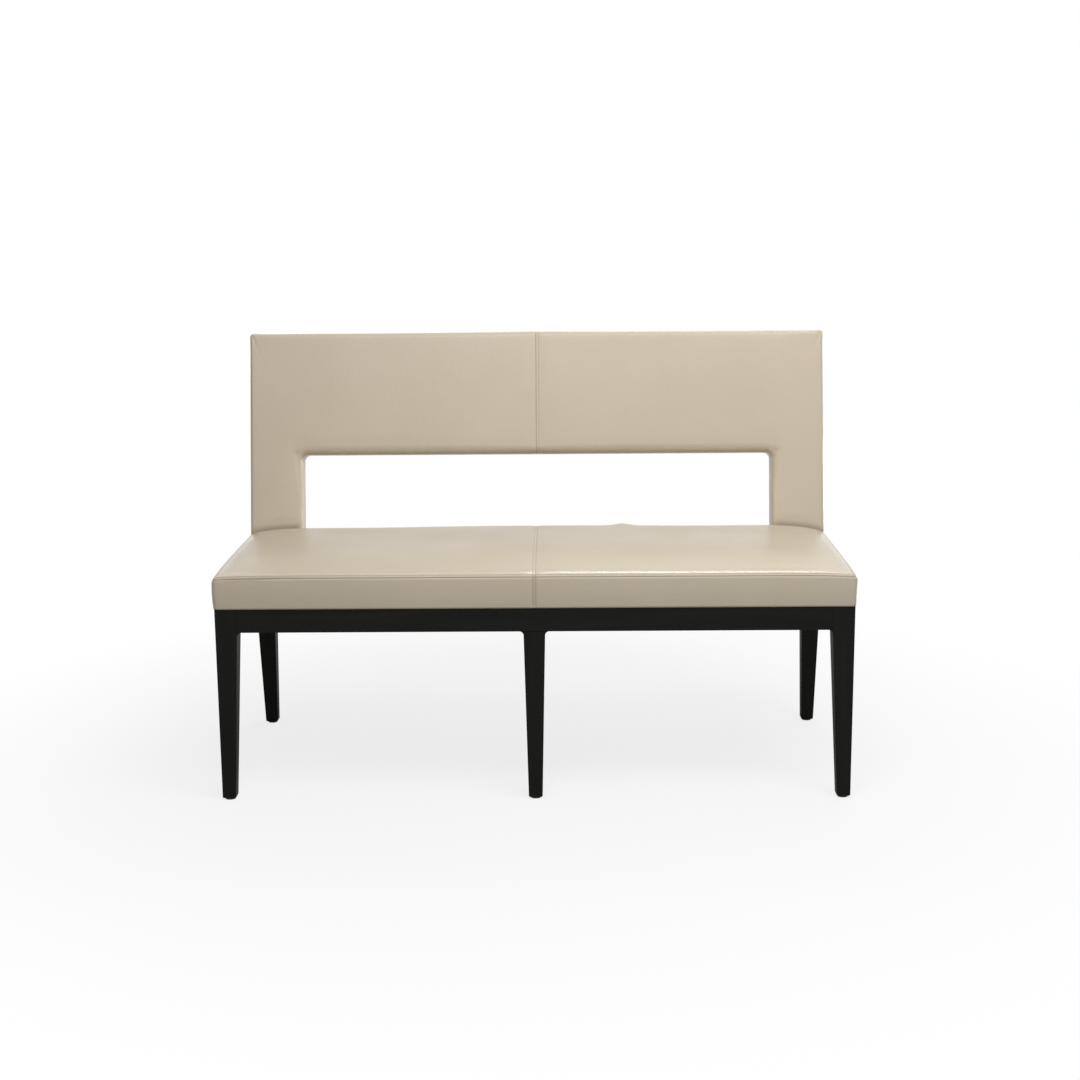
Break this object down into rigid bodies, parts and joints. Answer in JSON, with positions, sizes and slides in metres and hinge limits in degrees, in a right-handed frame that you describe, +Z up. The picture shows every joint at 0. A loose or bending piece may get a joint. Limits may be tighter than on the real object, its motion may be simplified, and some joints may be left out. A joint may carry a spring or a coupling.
{
  "type": "banquette",
  "caption": "Free-standing upholstered banquette with a leather seat, a raked leather back with a wide window, and black-stained timber legs and apron.",
  "frame": {"origin": "on the floor, under the middle of the banquette's overall box", "axes": "+X along the seat to the right of someone who faces the banquette, +Y towards the back, +Z up"},
  "size_m": [1.35, 0.6192, 0.9531],
  "materials": {
    "cream_leather": "smooth, softly grained, satin",
    "stained_timber": "black stain, satin lacquer",
    "frame_timber": "planed beech, unfinished",
    "plywood": "sanded birch plywood",
    "foam": "cut polyurethane foam",
    "dust_cloth": "black non-woven cloth",
    "zinc_steel": "zinc plated",
    "nylon": "moulded black nylon"
  },
  "bodies": {
    "root": {"back_cover_left": "cream_leather", "back_cover_right": "cream_leather", "back_facing_board": "plywood", "back_foam_left": "foam", "back_foam_right": "foam", "back_foam_sill": "foam", "back_foam_top": "foam", "back_frame_dowels": "frame_timber", "back_inner_stile_left": "frame_timber", "back_inner_stile_right": "frame_timber", "back_panel_rail": "frame_timber", "back_rear_board": "plywood", "back_rear_panel_left": "cream_leather", "back_rear_panel_right": "cream_leather", "back_sill_rail": "frame_timber", "back_top_rail": "frame_timber", "centre_leg_screws": "zinc_steel", "corner_block_front_left": "frame_timber", "corner_block_front_right": "frame_timber", "corner_block_rear_left": "frame_timber", "corner_block_rear_right": "frame_timber", "corner_block_screws": "zinc_steel", "cross_rail_centre": "frame_timber", "cross_rail_left": "frame_timber", "cross_rail_right": "frame_timber", "dust_cover": "dust_cloth", "facing_board_screws": "zinc_steel", "foot_glides": "nylon", "front_leg_centre": "stained_timber", "front_leg_left": "stained_timber", "front_leg_right": "stained_timber", "front_rail": "stained_timber", "rear_board_screws": "zinc_steel", "rear_leg_left": "stained_timber", "rear_leg_right": "stained_timber", "rear_rail": "stained_timber", "seat_board": "plywood", "seat_border_left": "cream_leather", "seat_border_right": "cream_leather", "seat_fixing_screws": "zinc_steel", "seat_foam": "foam", "seat_top_left": "cream_leather", "seat_top_right": "cream_leather", "side_rail_left": "stained_timber", "side_rail_right": "stained_timber"}
  },
  "joints": []
}
